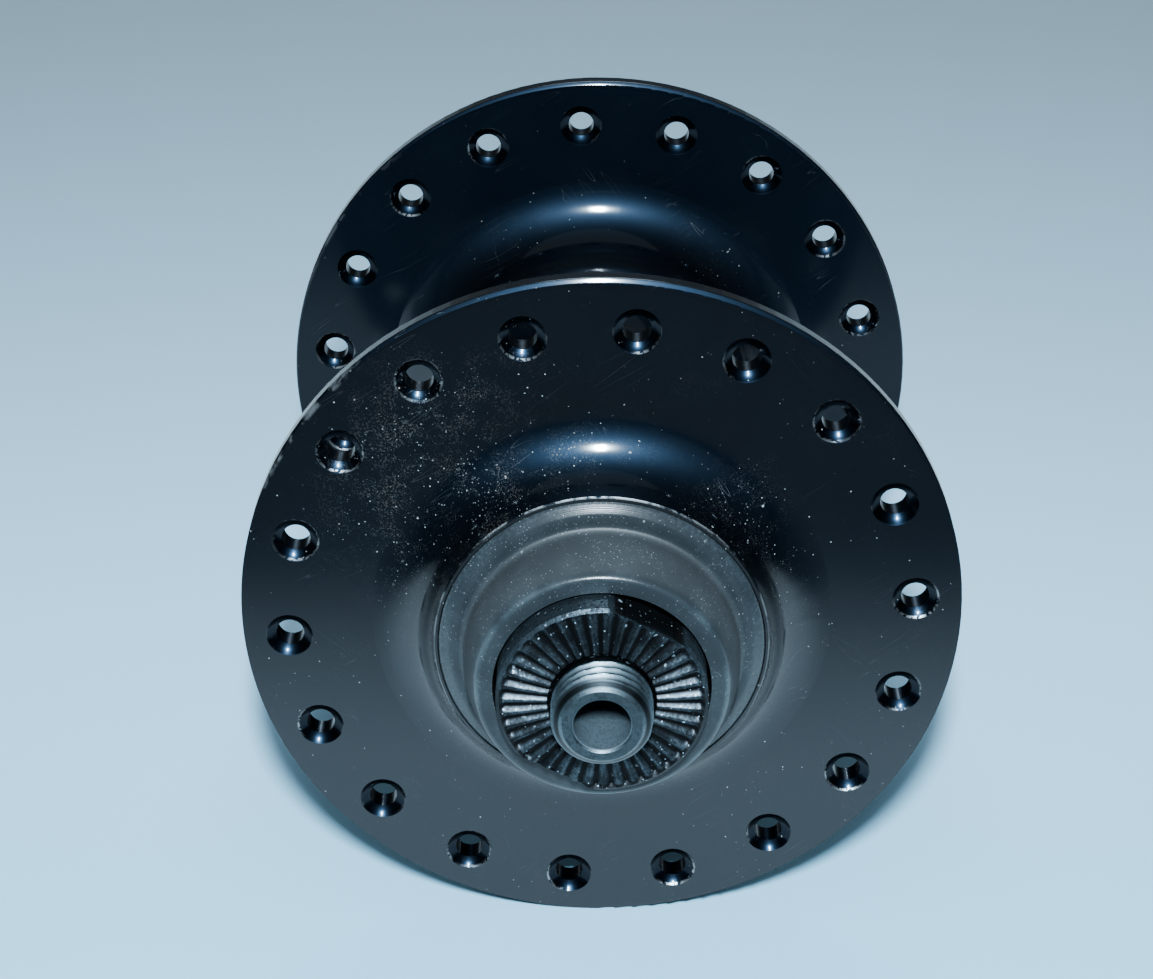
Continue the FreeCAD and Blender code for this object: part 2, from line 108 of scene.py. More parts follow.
# Table: plain pale blue-grey, with painted shade that dims its colour towards the front and
# away from the lamp. In reflections it shows a flat painted colour, which turns to painted shade a
# little in front of the hub, and the room is dimmer, which leaves the black flange's top dark.
TABLE_TOP = -33.3 * MM
TABLE_REACH = 2.2
TABLE_FRONT_PAINTED_DIM = (0.30, 0.65, 0.86, 1)
TABLE_NEAR = (0.44, 0.75, 0.95, 1)
TABLE_FAR_PAINTED_DIM = (0.325, 0.44, 0.50, 1)
TABLE_PAINTED_REFLECTION = (0.60, 0.69, 0.73, 1)
TABLE_UNLIT = (0.02, 0.021, 0.023, 1)
FRONT_TO_NEAR = (-45 * MM, 40 * MM)
NEAR_TO_FAR = (0.0, 300 * MM)
FRONT_TO_FAR = (-150 * MM, -350 * MM)
MIRRORED_END = (-47 * MM, -106 * MM)


def add(tree, kind, inputs=(), **settings):
    """Adds a node. Inputs are values or sockets, by place or by name."""
    made = tree.nodes.new(kind)
    for name, value in settings.items():
        setattr(made, name, value)
    for key, value in inputs.items() if isinstance(inputs, dict) else enumerate(inputs):
        if isinstance(value, bpy.types.NodeSocket):
            tree.links.new(value, made.inputs[key])
        elif value is not None:
            made.inputs[key].default_value = value
    return made


def calc(tree, operation, *values):
    return add(tree, "ShaderNodeMath", values, operation=operation).outputs[0]


def ramp(tree, value, low, high, to_low=0.0, to_high=1.0):
    """Goes smoothly from one value to another while the input goes from low to high."""
    return add(tree, "ShaderNodeMapRange", (value, low, high, to_low, to_high),
               interpolation_type="SMOOTHSTEP").outputs[0]


def blend(tree, share, first, second):
    """Mixes two colours."""
    mixed = add(tree, "ShaderNodeMix", {0: share, 6: first, 7: second}, data_type="RGBA")
    return mixed.outputs[2]


def noise(tree, vector, scale, detail=2.0, **more):
    inputs = {"Vector": vector, "Scale": scale, "Detail": detail, **more}
    return add(tree, "ShaderNodeTexNoise", inputs).outputs[0]


def bump(tree, strength, distance, height, normal=None):
    inputs = {"Strength": strength, "Distance": distance, "Height": height, "Normal": normal}
    return add(tree, "ShaderNodeBump", inputs).outputs[0]


def new_material(name):
    made = bpy.data.materials.new(name)
    made.use_nodes = True
    return made, made.node_tree, made.node_tree.nodes["Principled BSDF"]


def set_finish(surface, **looks):
    """Sets the shader's inputs, with _ for a space in their names, to values or sockets."""
    for name, value in looks.items():
        given = surface.inputs[name.replace("_", " ")]
        if isinstance(value, bpy.types.NodeSocket):
            surface.id_data.links.new(value, given)
        else:
            given.default_value = value


def place_of(tree):
    """Object coordinates in metres."""
    return add(tree, "ShaderNodeTexCoord").outputs["Object"]


def parts_of(tree, vector):
    """The three parts of a vector: across, along the axle and up."""
    return add(tree, "ShaderNodeSeparateXYZ", (vector,)).outputs


room = bpy.data.worlds.new("room")
room.use_nodes = True
tree = room.node_tree
path = add(tree, "ShaderNodeLightPath").outputs
room_color = blend(tree, path["Is Glossy Ray"], ROOM_COLOR, ROOM_REFLECTED)
tree.links.new(blend(tree, path["Is Camera Ray"], room_color, ROOM_SEEN),
               tree.nodes["Background"].inputs["Color"])
bpy.context.scene.world = room

table_material, tree, surface = new_material("pale_table")
vector = place_of(tree)
along = parts_of(tree, vector)[1]
# Painted shade: the table's colour dims towards the front and the back
lit = blend(tree, ramp(tree, along, *FRONT_TO_NEAR), TABLE_FRONT_PAINTED_DIM, TABLE_NEAR)
lit = blend(tree, ramp(tree, along, *NEAR_TO_FAR), lit, TABLE_FAR_PAINTED_DIM)
lit = blend(tree, ramp(tree, along, *FRONT_TO_FAR), lit, TABLE_FAR_PAINTED_DIM)
# Reflections see a flat painted colour, and painted shade past a line in front of the hub
mirrored = add(tree, "ShaderNodeLightPath").outputs["Is Glossy Ray"]
lit = blend(tree, mirrored, lit, TABLE_PAINTED_REFLECTION)
reflected_shade = calc(tree, "MULTIPLY", ramp(tree, along, *MIRRORED_END), mirrored)
set_finish(surface, Base_Color=blend(tree, reflected_shade, lit, TABLE_UNLIT), Roughness=0.7,
           Specular_IOR_Level=0.2,
           Normal=bump(tree, 0.05, 0.1 * MM, noise(tree, vector, 900.0)))
table_mesh = bpy.data.meshes.new("table")
table_mesh.from_pydata([
    (x * TABLE_REACH, y * TABLE_REACH, TABLE_TOP)
    for x, y in ((-1, -1), (1, -1), (1, 1), (-1, 1))], [], [(0, 1, 2, 3)])
table_mesh.materials.append(table_material)
table = bpy.data.objects.new("table", table_mesh)
bpy.context.scene.collection.objects.link(table)

# Shell: forged and turned from one piece of aluminium, then anodised a glossy black. Handling
# has left dust, fine scratches and bright spots where the black has worn off.
BLACK_ANODISING = (0.0040, 0.0085, 0.0150, 1)
BARE_ALUMINIUM = (0.50, 0.53, 0.55, 1)
DUST_COLOR = (0.30, 0.32, 0.31, 1)
DUST_BROWN = (0.26, 0.19, 0.13, 1)
RIM_RADIUS = 33.3 * MM
SPOKE_CIRCLE = 29.0 * MM
SPOKE_STEP = math.radians(20)
LEFT_HOLES_TURN = math.radians(-4.33)
COUNTERSINK_RADIUS = 2.175 * MM
FLANGE_MIDDLE = 26.15 * MM
FLANGE_INNER_FACE = 24.6 * MM
BOSS_RADIUS = 15.25 * MM
BOSS_FACE = 33.0 * MM
WORN_RIM_TURN = math.radians(-56)
DUSTY_MIDDLE = (-14 * MM, -28 * MM, 15 * MM)
DUSTY_REACH = (4 * MM, 15 * MM)
# Between these distances from the rim's ridge, its slope grows by these degrees
RIM_SLOPES = ((0.0, 0.28 * MM, 58), (0.2 * MM, 1.35 * MM, 6), (1.12 * MM, 1.36 * MM, 26))


def combine(tree, operation, first, *others):
    """Puts values together from left to right: their sum, their product or the largest."""
    for other in others:
        first = calc(tree, operation, first, other)
    return first


def scale_and_add(tree, value, factor, added):
    return calc(tree, "MULTIPLY_ADD", value, factor, added)


def near(tree, value, middle, inner, outer):
    """Goes from 1 to 0 while a value's distance from the middle goes from inner to outer."""
    gap = calc(tree, "ABSOLUTE", calc(tree, "SUBTRACT", value, middle))
    return ramp(tree, gap, outer, inner)


def length_of(tree, first, second):
    """Length of the flat vector with these two parts, such as the distance from the axle."""
    return calc(tree, "SQRT", calc(tree, "ADD", calc(tree, "MULTIPLY", first, first),
                                   calc(tree, "MULTIPLY", second, second)))


def new_group(name, inputs, output):
    """An empty shader group with one result. Returns its tree, its inputs and its end socket."""
    group = bpy.data.node_groups.new(name, "ShaderNodeTree")
    for socket_name, kind, value in inputs:
        socket = group.interface.new_socket(socket_name, in_out="INPUT", socket_type=kind)
        if value is not None:
            socket.default_value = value
    group.interface.new_socket(output, in_out="OUTPUT", socket_type="NodeSocketFloat")
    end = group.nodes.new("NodeGroupOutput").inputs[output]
    return group, group.nodes.new("NodeGroupInput").outputs, end


def place_group(tree, group, **inputs):
    return add(tree, "ShaderNodeGroup", inputs, node_tree=group).outputs[0]


# One speck of dust in some of the cells of a random grid, ragged, each of its own size and
# brightness
dust_specks, given, result = new_group(
    "dust_specks",
    [("Vector", "NodeSocketVector", None), ("Cell", "NodeSocketFloat", 0.001),
     ("Share", "NodeSocketFloat", 0.2), ("Size", "NodeSocketFloat", 0.15)], "Mask")
tree = dust_specks
per_metre = calc(tree, "DIVIDE", 1.0, given["Cell"])
ragged = add(tree, "ShaderNodeTexNoise", {
    "Vector": given["Vector"], "Scale": calc(tree, "MULTIPLY", per_metre, 5.0),
    "Detail": 1.0}).outputs["Color"]
shaken = add(tree, "ShaderNodeVectorMath", (ragged, (-0.5, -0.5, -0.5)),
             operation="ADD").outputs[0]
shaken = add(tree, "ShaderNodeVectorMath", {
    0: shaken, "Scale": calc(tree, "MULTIPLY", given["Cell"], 0.35)},
    operation="SCALE").outputs[0]
shaken = add(tree, "ShaderNodeVectorMath", (given["Vector"], shaken),
             operation="ADD").outputs[0]
cells = add(tree, "ShaderNodeTexVoronoi", {"Vector": shaken, "Scale": per_metre}).outputs
chance = add(tree, "ShaderNodeSeparateColor", (cells["Color"],)).outputs
chosen = calc(tree, "LESS_THAN", chance[0], given["Share"])
speck_size = calc(tree, "MULTIPLY", given["Size"], scale_and_add(tree, chance[1], 0.8, 0.2))
inside = ramp(tree, calc(tree, "DIVIDE", cells["Distance"], speck_size), 1.0, 0.4)
glow = scale_and_add(tree, calc(tree, "MULTIPLY", chance[2], chance[2]), 0.85, 0.15)
tree.links.new(combine(tree, "MULTIPLY", chosen, inside, glow), result)

# Hair-thin scratches: the level lines of a noise that is stretched along one direction
fine_scratches, given, result = new_group(
    "fine_scratches",
    [("Vector", "NodeSocketVector", None), ("Turn", "NodeSocketFloat", 0.0),
     ("Width", "NodeSocketFloat", 0.006), ("Share", "NodeSocketFloat", 0.4)], "Mask")
tree = fine_scratches
turned = add(tree, "ShaderNodeVectorRotate", {
    "Vector": given["Vector"], "Angle": given["Turn"], "Axis": (0.2, 1.0, 0.1)}).outputs[0]
stretched = add(tree, "ShaderNodeMapping", {
    "Vector": turned, "Scale": (60.0, 500.0, 900.0)}).outputs[0]
off_level = calc(tree, "ABSOLUTE", calc(tree, "SUBTRACT", noise(tree, stretched, 1.0, 1.0), 0.5))
line = calc(tree, "LESS_THAN", off_level, given["Width"])
some = ramp(tree, noise(tree, turned, 210.0, 0.0), calc(tree, "SUBTRACT", 1.0, given["Share"]), 1.0)
tree.links.new(calc(tree, "MULTIPLY", line, some), result)

shell_material, tree, surface = new_material("black_anodised_aluminium")
vector = place_of(tree)
across, along, height = parts_of(tree, vector)
from_centre = calc(tree, "ABSOLUTE", along)
radius = length_of(tree, across, height)
angle = calc(tree, "ARCTAN2", across, height)
blotches = noise(tree, vector, 130.0, 3.0)
scuffs = noise(tree, vector, 420.0, 4.0, Roughness=0.65)
grit = noise(tree, vector, 2600.0)
flour = noise(tree, vector, 7000.0, 1.0)

# Distance from the nearest spoke hole's middle, on either flange
far_side = calc(tree, "GREATER_THAN", along, 0.0)
hole_turn = scale_and_add(tree, far_side, SPOKE_STEP / 2, math.radians(90) + LEFT_HOLES_TURN)
from_hole = calc(tree, "WRAP", calc(tree, "SUBTRACT", angle, hole_turn),
                 SPOKE_STEP / 2, -SPOKE_STEP / 2)
hole_distance = length_of(tree, calc(tree, "MULTIPLY", from_hole, SPOKE_CIRCLE),
                          calc(tree, "SUBTRACT", radius, SPOKE_CIRCLE))
in_sink = ramp(tree, hole_distance, COUNTERSINK_RADIUS, COUNTERSINK_RADIUS - 0.12 * MM)

# The black has worn off the countersinks' lips, the rims and the bosses' edges, in spots.
# On the bosses' edges this is heavier towards the top, where it also paints a highlight.
sink_lip = near(tree, hole_distance, COUNTERSINK_RADIUS - 0.1 * MM, 0.0, 0.14 * MM)
lip_wear = combine(tree, "MULTIPLY", sink_lip, 0.7, ramp(tree, blotches, 0.50, 0.62),
                   ramp(tree, grit, 0.42, 0.52))
rim_edge = ramp(tree, radius, RIM_RADIUS - 0.35 * MM, RIM_RADIUS - 0.05 * MM)
upper_left = near(tree, angle, WORN_RIM_TURN, math.radians(5), math.radians(20))
rim_spots = calc(tree, "MAXIMUM", calc(
    tree, "MULTIPLY", upper_left, ramp(tree, scuffs, 0.46, 0.60)),
    ramp(tree, scuffs, 0.68, 0.74, 0.0, 0.6))
rim_wear = combine(tree, "MULTIPLY", rim_edge, rim_spots,
                   scale_and_add(tree, far_side, -0.4, 0.55))
# Heavier towards the top, where the bare metal is a painted highlight as well as wear
boss_wear_and_highlight = combine(
    tree, "MULTIPLY", ramp(tree, radius, BOSS_RADIUS - 0.22 * MM, BOSS_RADIUS),
    ramp(tree, from_centre, BOSS_FACE - 0.22 * MM, BOSS_FACE - 0.08 * MM),
    ramp(tree, scuffs, 0.46, 0.56, 0.0, 0.7), ramp(tree, height, -2 * MM, 9 * MM, 0.15, 1.0))
wear_and_highlight = combine(tree, "MAXIMUM", boss_wear_and_highlight, lip_wear, rim_wear)
scratches = calc(
    tree, "MAXIMUM",
    place_group(tree, fine_scratches, Vector=vector, Turn=0.6, Width=0.004, Share=0.42),
    place_group(tree, fine_scratches, Vector=vector, Turn=2.3, Width=0.003, Share=0.38))

# Dust lies thickest to the upper left of the boss and round the boss itself
near_face = ramp(tree, along, -22 * MM, -26 * MM)
dust_distance = add(tree, "ShaderNodeVectorMath", (vector, DUSTY_MIDDLE),
                    operation="DISTANCE").outputs["Value"]
dusty_patch = ramp(tree, dust_distance, DUSTY_REACH[1], DUSTY_REACH[0])
boss_dust = combine(
    tree, "MULTIPLY", ramp(tree, radius, 23 * MM, 16 * MM),
    ramp(tree, calc(tree, "ABSOLUTE", angle), math.radians(14), math.radians(40), 0.1, 1.0),
    ramp(tree, height, -6 * MM, 8 * MM))
share = scale_and_add(tree, dusty_patch, 0.50, scale_and_add(tree, boss_dust, 0.30, 0.05))
share = combine(tree, "MULTIPLY", share, scale_and_add(tree, near_face, 0.7, 0.3),
                ramp(tree, blotches, 0.35, 0.65, 0.3, 1.5))
fine = place_group(tree, dust_specks, Vector=vector, Cell=0.26 * MM, Share=share, Size=0.36)
coarse = place_group(tree, dust_specks, Vector=vector, Cell=0.80 * MM,
                     Share=calc(tree, "MULTIPLY", share, 0.7), Size=0.21)
powder = combine(tree, "MULTIPLY", ramp(tree, flour, 0.52, 0.66), share,
                 ramp(tree, scuffs, 0.42, 0.62, 0.0, 0.30))
dust = combine(tree, "MAXIMUM", fine, coarse, powder)
# A film of dust has settled in the seam between the boss and its cap
seam = calc(tree, "MULTIPLY", ramp(tree, radius, BOSS_RADIUS, BOSS_RADIUS - 0.3 * MM), ramp(
    tree, from_centre, BOSS_FACE - 1.0 * MM, BOSS_FACE - 0.4 * MM, 0.0, 0.07))
dust_all = calc(tree, "MINIMUM", calc(tree, "MAXIMUM", dust, seam), 0.9)

color = blend(tree, calc(tree, "MULTIPLY", scratches, 0.15), BLACK_ANODISING, BARE_ALUMINIUM)
color = blend(tree, wear_and_highlight, color, BARE_ALUMINIUM)
dust_tint = blend(tree, ramp(tree, scuffs, 0.54, 0.62, 0.0, 0.8), DUST_COLOR, DUST_BROWN)
color = blend(tree, dust_all, color, dust_tint)
rough = scale_and_add(tree, in_sink, -0.16, scale_and_add(tree, blotches, 0.08, 0.40))
rough = combine(tree, "MAXIMUM", rough, calc(tree, "MULTIPLY", wear_and_highlight, 0.42), dust_all)
relief = calc(tree, "SUBTRACT", calc(tree, "MULTIPLY", dust, 0.6),
              scale_and_add(tree, wear_and_highlight, 0.5, calc(tree, "MULTIPLY", scratches, 0.3)))
relief = scale_and_add(tree, grit, 0.03, relief)
# The countersinks and the flanges' inner faces have less gloss
inner_face = calc(tree, "MULTIPLY", ramp(
    tree, from_centre, FLANGE_INNER_FACE + 0.1 * MM, FLANGE_INNER_FACE),
    ramp(tree, radius, 22 * MM, 26 * MM, 0.0, 0.7))
less_gloss = calc(tree, "MAXIMUM", calc(tree, "MULTIPLY", in_sink, 0.8), inner_face)

# The rims are turned to a long soft slope on both edges, which catches the lamp in one band
from_middle = calc(tree, "SUBTRACT", from_centre, FLANGE_MIDDLE)
from_ridge = calc(tree, "ABSOLUTE", from_middle)
lean = combine(tree, "ADD", *(
    ramp(tree, from_ridge, start, end, 0.0, math.radians(degrees))
    for start, end, degrees in RIM_SLOPES))
outward = calc(tree, "DIVIDE", calc(tree, "COSINE", lean), radius)
sideways = calc(tree, "MULTIPLY", calc(tree, "SINE", lean), calc(
    tree, "SIGN", calc(tree, "MULTIPLY", along, from_middle)))
rim_slope = add(tree, "ShaderNodeCombineXYZ", (
    calc(tree, "MULTIPLY", outward, across), sideways,
    calc(tree, "MULTIPLY", outward, height))).outputs[0]
rim_slope = add(tree, "ShaderNodeVectorTransform", (rim_slope,), vector_type="NORMAL",
                convert_from="OBJECT", convert_to="WORLD").outputs[0]
on_rim = ramp(tree, radius, RIM_RADIUS - 0.55 * MM, RIM_RADIUS - 0.45 * MM)
flat = add(tree, "ShaderNodeNewGeometry").outputs["Normal"]
sloped = add(tree, "ShaderNodeMix", {0: on_rim, 4: flat, 5: rim_slope},
             data_type="VECTOR").outputs[1]
set_finish(surface, Base_Color=color, Metallic=calc(tree, "SUBTRACT", 1.0, dust_all),
           Roughness=rough, Normal=bump(tree, 0.6, 0.03 * MM, relief, sloped),
           Coat_Weight=calc(tree, "SUBTRACT", 1.0, less_gloss), Coat_Roughness=0.10,
           Coat_IOR=1.5, Coat_Normal=sloped)
nodes["hub_shell"].material_slots[0].material = shell_material

# Dust caps: thin moulded covers in satin dark grey, with fine rings from the turned mould. They
# are pressed into the bosses, go round the locknuts and keep dirt out of the bearings.
CAP_GREY = (0.0125, 0.0160, 0.0185, 1)
CAP_WORN = (0.055, 0.070, 0.078, 1)
CAP_NOSE_RADIUS = 11.2 * MM
CAP_EDGE_RADIUS = 14.5 * MM
CAP_CREASE_RADIUS = 12.4 * MM

# Random fine rings round the axle, as a lathe leaves them
turned_rings, given, result = new_group(
    "turned_rings",
    [("Radius", "NodeSocketFloat", 0.0), ("Along", "NodeSocketFloat", 0.0),
     ("Scale", "NodeSocketFloat", 10000.0), ("Detail", "NodeSocketFloat", 1.0)], "Mask")
tree = turned_rings
place = add(tree, "ShaderNodeCombineXYZ", (given["Radius"], given["Along"])).outputs[0]
tree.links.new(noise(tree, place, given["Scale"], given["Detail"]), result)

cap_material, tree, surface = new_material("dark_grey_cap")
vector = place_of(tree)
across, along, height = parts_of(tree, vector)
radius = length_of(tree, across, height)
smudge = noise(tree, vector, 260.0, 4.0)
grain = noise(tree, vector, 2600.0)
scratches = calc(
    tree, "MAXIMUM",
    place_group(tree, fine_scratches, Vector=vector, Turn=1.1, Width=0.006, Share=0.5),
    place_group(tree, fine_scratches, Vector=vector, Turn=2.9, Width=0.004, Share=0.5))
nose_rub = calc(tree, "MULTIPLY", near(tree, radius, CAP_NOSE_RADIUS, 0.0, 0.5 * MM),
                ramp(tree, smudge, 0.40, 0.65, 0.1, 0.5))
rim_rub = combine(tree, "MULTIPLY", ramp(tree, grain, 0.45, 0.60), 0.15, ramp(
    tree, radius, CAP_EDGE_RADIUS - 0.9 * MM, CAP_EDGE_RADIUS))
worn = combine(tree, "MAXIMUM", calc(tree, "MULTIPLY", scratches, 0.3), rim_rub, nose_rub)
fine = place_group(tree, dust_specks, Vector=vector, Cell=0.20 * MM, Share=ramp(
    tree, smudge, 0.35, 0.65, 0.15, 0.75), Size=0.42)
coarse = place_group(tree, dust_specks, Vector=vector, Cell=0.9 * MM, Share=0.06, Size=0.18)
specks = calc(tree, "MAXIMUM", calc(tree, "MULTIPLY", fine, 0.6), coarse)
specks = calc(tree, "MULTIPLY", specks, ramp(tree, height, -9 * MM, 5 * MM, 0.3, 1.0))
color = blend(tree, ramp(tree, smudge, 0.35, 0.7, 0.0, 0.12), CAP_GREY, CAP_WORN)
color = blend(tree, worn, color, CAP_WORN)
color = blend(tree, specks, color, DUST_COLOR)
crease = near(tree, radius, CAP_CREASE_RADIUS - 0.3 * MM, 0.3 * MM, 0.9 * MM)
rough = scale_and_add(tree, crease, 0.50, scale_and_add(tree, smudge, 0.12, 0.20))
# The shoulder rises towards its edge, and the rings spread the lamp's highlight across them
dome = ramp(tree, radius, CAP_CREASE_RADIUS, CAP_EDGE_RADIUS - 0.6 * MM, 0.0, 0.75)
rings = place_group(tree, turned_rings, Radius=radius, Along=along, Scale=14000.0, Detail=1.0)
dome = scale_and_add(tree, rings, 0.010, dome)
relief = scale_and_add(tree, grain, 0.45, calc(tree, "MULTIPLY", specks, 0.7))
set_finish(surface, Base_Color=color, Roughness=rough, Normal=bump(
    tree, 0.5, 0.02 * MM, relief, bump(tree, 1.0, 1.0 * MM, dome)))
for side in ("left", "right"):
    nodes[f"dust_cap_{side}"].material_slots[0].material = cap_material

# Locknuts: blackened steel, turned round, with two flats for a wrench. Radial teeth across
# the face bite into the fork, which has rubbed their flanks bright. The rubbing is painted
# fainter towards the top as painted shade, and the face's upper edge brighter as a painted
# highlight.
LOCKNUT_FACE = 42.6 * MM
LOCKNUT_THICKNESS = 5.6 * MM
LOCKNUT_RADIUS = 9.35 * MM
LOCKNUT_CHAMFER = 0.3 * MM
LOCKNUT_BORE = 4.175 * MM
LOCKNUT_LEAD = 0.65 * MM
FLAT_DISTANCE = 8.425 * MM
LOCKNUT_TURNS = {"left": math.radians(28.5), "right": math.radians(74.0)}
TEETH = 39
TOOTH_SLOPE = 0.62
TOOTH_ROUNDING = 0.6
TOOTH_COLUMNS = 16
TEETH_FADE = 0.35 * MM
FACE_ROWS = 18
SAME_PLACE = 0.001 * MM
SHARP_EDGE = math.radians(35)
BLACKENED = (0.012, 0.015, 0.018, 1)
RUBBED_STEEL = (0.058, 0.080, 0.097, 1)
GRIME_AND_SHADE = (0.006, 0.006, 0.006, 1)
PALE_FLAKES = (0.40, 0.52, 0.60, 1)


def turned_blank(name, profile, columns):
    """A closed piece turned round the axle's line from (radius, place) points."""
    mesh = bmesh.new()
    turns = [2 * math.pi * n / columns for n in range(columns)]
    rings = [[mesh.verts.new((radius * math.sin(turn), place, radius * math.cos(turn)))
              for turn in turns] for radius, place in profile]
    for first, second in zip(rings, rings[1:] + rings[:1]):
        for n in range(columns):
            m = (n + 1) % columns
            mesh.faces.new((first[n], first[m], second[m], second[n]))
    bmesh.ops.recalc_face_normals(mesh, faces=mesh.faces)
    data = bpy.data.meshes.new(name)
    mesh.to_mesh(data)
    mesh.free()
    made = bpy.data.objects.new(name, data)
    bpy.context.scene.collection.objects.link(made)
    return made


def new_tool(name, sizes):
    """A Geometry Nodes tree with these number inputs, and the ends of its chain of nodes."""
    tree = bpy.data.node_groups.new(name, "GeometryNodeTree")
    tree.interface.new_socket("Geometry", in_out="INPUT", socket_type="NodeSocketGeometry")
    for size_name in sizes:
        tree.interface.new_socket(size_name, in_out="INPUT", socket_type="NodeSocketFloat")
    tree.interface.new_socket("Material", in_out="INPUT", socket_type="NodeSocketMaterial")
    tree.interface.new_socket("Geometry", in_out="OUTPUT", socket_type="NodeSocketGeometry")
    given = tree.nodes.new("NodeGroupInput").outputs
    real = add(tree, "GeometryNodeRealizeInstances")
    finished = add(tree, "GeometryNodeSetMaterial", {
        "Geometry": real.outputs[0], "Material": given["Material"]})
    tree.links.new(finished.outputs[0], tree.nodes.new("NodeGroupOutput").inputs[0])
    return tree, given, real.inputs[0]


def use_tool(piece, tree, **settings):
    """Runs a tree on a piece and keeps the result as its plain mesh."""
    modifier = piece.modifiers.new(tree.name, "NODES")
    modifier.node_group = tree
    named = {name.replace("_", " "): value for name, value in settings.items()}
    for item in tree.interface.items_tree:
        if item.in_out == "INPUT" and item.name in named:
            modifier[item.identifier] = named[item.name]
    bpy.context.view_layer.update()
    shaped = piece.evaluated_get(bpy.context.evaluated_depsgraph_get())
    blank = piece.data
    piece.data = bpy.data.meshes.new_from_object(shaped)
    piece.modifiers.remove(modifier)
    bpy.data.meshes.remove(blank)
    for face in piece.data.polygons:
        face.use_smooth = True
    piece.data.set_sharp_from_angle(angle=SHARP_EDGE)


# Mills the two flats, then cuts the teeth into the face. The depth of the valleys and the
# nearness of the face's edge are kept as attributes.
cut_locknut, given, shaped = new_tool("cut_locknut", (
    "Turn", "Teeth", "Slope", "Rounding", "Face", "Flat distance", "Teeth end", "Fade"))
tree = cut_locknut
across, along, height = parts_of(tree, add(tree, "GeometryNodeInputPosition").outputs[0])
radius = length_of(tree, across, height)
turned = calc(tree, "SUBTRACT", calc(tree, "ARCTAN2", across, height), given["Turn"])
flat_radius = calc(tree, "DIVIDE", given["Flat distance"], calc(
    tree, "ABSOLUTE", calc(tree, "COSINE", turned)))
shrink = calc(tree, "MINIMUM", 1.0, calc(tree, "DIVIDE", flat_radius, radius))
new_radius = calc(tree, "MULTIPLY", radius, shrink)
tooth = calc(tree, "FRACT", scale_and_add(
    tree, calc(tree, "DIVIDE", turned, 2 * math.pi), given["Teeth"], 0.25))
valley = calc(tree, "MULTIPLY", 2.0, calc(tree, "ABSOLUTE", calc(tree, "SUBTRACT", tooth, 0.5)))
wave = scale_and_add(tree, calc(tree, "COSINE", calc(tree, "MULTIPLY", valley, math.pi)), -0.5, 0.5)
valley = calc(tree, "ADD", calc(tree, "MULTIPLY", wave, given["Rounding"]), calc(
    tree, "MULTIPLY", valley, calc(tree, "SUBTRACT", 1.0, given["Rounding"])))
before_end = calc(tree, "SUBTRACT", given["Teeth end"], new_radius)
on_face = calc(tree, "GREATER_THAN", calc(tree, "ABSOLUTE", along), calc(
    tree, "SUBTRACT", given["Face"], SAME_PLACE))
valley = combine(tree, "MULTIPLY", valley, ramp(tree, before_end, 0.0, given["Fade"]), on_face)
half_pitch = calc(tree, "DIVIDE", calc(tree, "MULTIPLY", new_radius, math.pi), given["Teeth"])
depth = combine(tree, "MULTIPLY", valley, half_pitch, given["Slope"])
new_place = calc(tree, "SUBTRACT", along, calc(
    tree, "MULTIPLY", depth, calc(tree, "SIGN", along)))
face_end = calc(tree, "MINIMUM", flat_radius, given["Teeth end"])
face_edge = calc(tree, "MULTIPLY", on_face, ramp(
    tree, calc(tree, "SUBTRACT", face_end, radius), 0.3 * MM, 0.05 * MM))
milled = given["Geometry"]
for mark, value in (("tooth_valley", valley), ("face_edge", face_edge)):
    milled = add(tree, "GeometryNodeStoreNamedAttribute", {
        "Geometry": milled, "Name": mark, "Value": value}).outputs[0]
moved = add(tree, "ShaderNodeCombineXYZ", (
    calc(tree, "MULTIPLY", across, shrink), new_place,
    calc(tree, "MULTIPLY", height, shrink))).outputs[0]
milled = add(tree, "GeometryNodeSetPosition", {
    "Geometry": milled, "Position": moved}).outputs[0]
tree.links.new(add(tree, "GeometryNodeMergeByDistance", {
    "Geometry": milled, "Distance": SAME_PLACE}).outputs[0], shaped)

nut_material, tree, surface = new_material("blackened_steel")
vector = place_of(tree)
across, along, height = parts_of(tree, vector)
radius = length_of(tree, across, height)
smudge = noise(tree, vector, 520.0, 4.0)
grain = noise(tree, vector, 3200.0, 3.0)
valley = add(tree, "ShaderNodeAttribute", attribute_name="tooth_valley").outputs["Fac"]
face_edge = add(tree, "ShaderNodeAttribute", attribute_name="face_edge").outputs["Fac"]
on_teeth = ramp(tree, calc(tree, "ABSOLUTE", along), LOCKNUT_FACE - 0.55 * MM,
                LOCKNUT_FACE - 0.50 * MM)
tooth_end = ramp(tree, radius, LOCKNUT_RADIUS - 0.70 * MM, LOCKNUT_RADIUS - 0.35 * MM)
# Rubbed flanks, fainter towards the top: painted shade on the nut's top
rubbed_and_shaded = combine(
    tree, "MULTIPLY", on_teeth, ramp(tree, valley, 0.85, 0.35),
    ramp(tree, smudge, 0.40, 0.58, 0.15, 1.0), calc(tree, "SUBTRACT", 1.0, tooth_end),
    ramp(tree, grain, 0.38, 0.56, 0.35, 1.0),
    ramp(tree, height, 2.5 * MM, 6.0 * MM, 1.0, 0.55))
# Rubbed edges, brighter towards the top: a painted highlight along the upper edge
edge_rub_and_highlight = calc(tree, "MAXIMUM", face_edge, ramp(
    tree, radius, LOCKNUT_RADIUS - 0.3 * MM, LOCKNUT_RADIUS - 0.15 * MM, 0.0, 0.8))
edge_rub_and_highlight = combine(tree, "MULTIPLY", edge_rub_and_highlight, ramp(tree, height, 0.0, 3 * MM, 0.15, 1.0),
                   ramp(tree, grain, 0.36, 0.50, 0.2, 1.0))
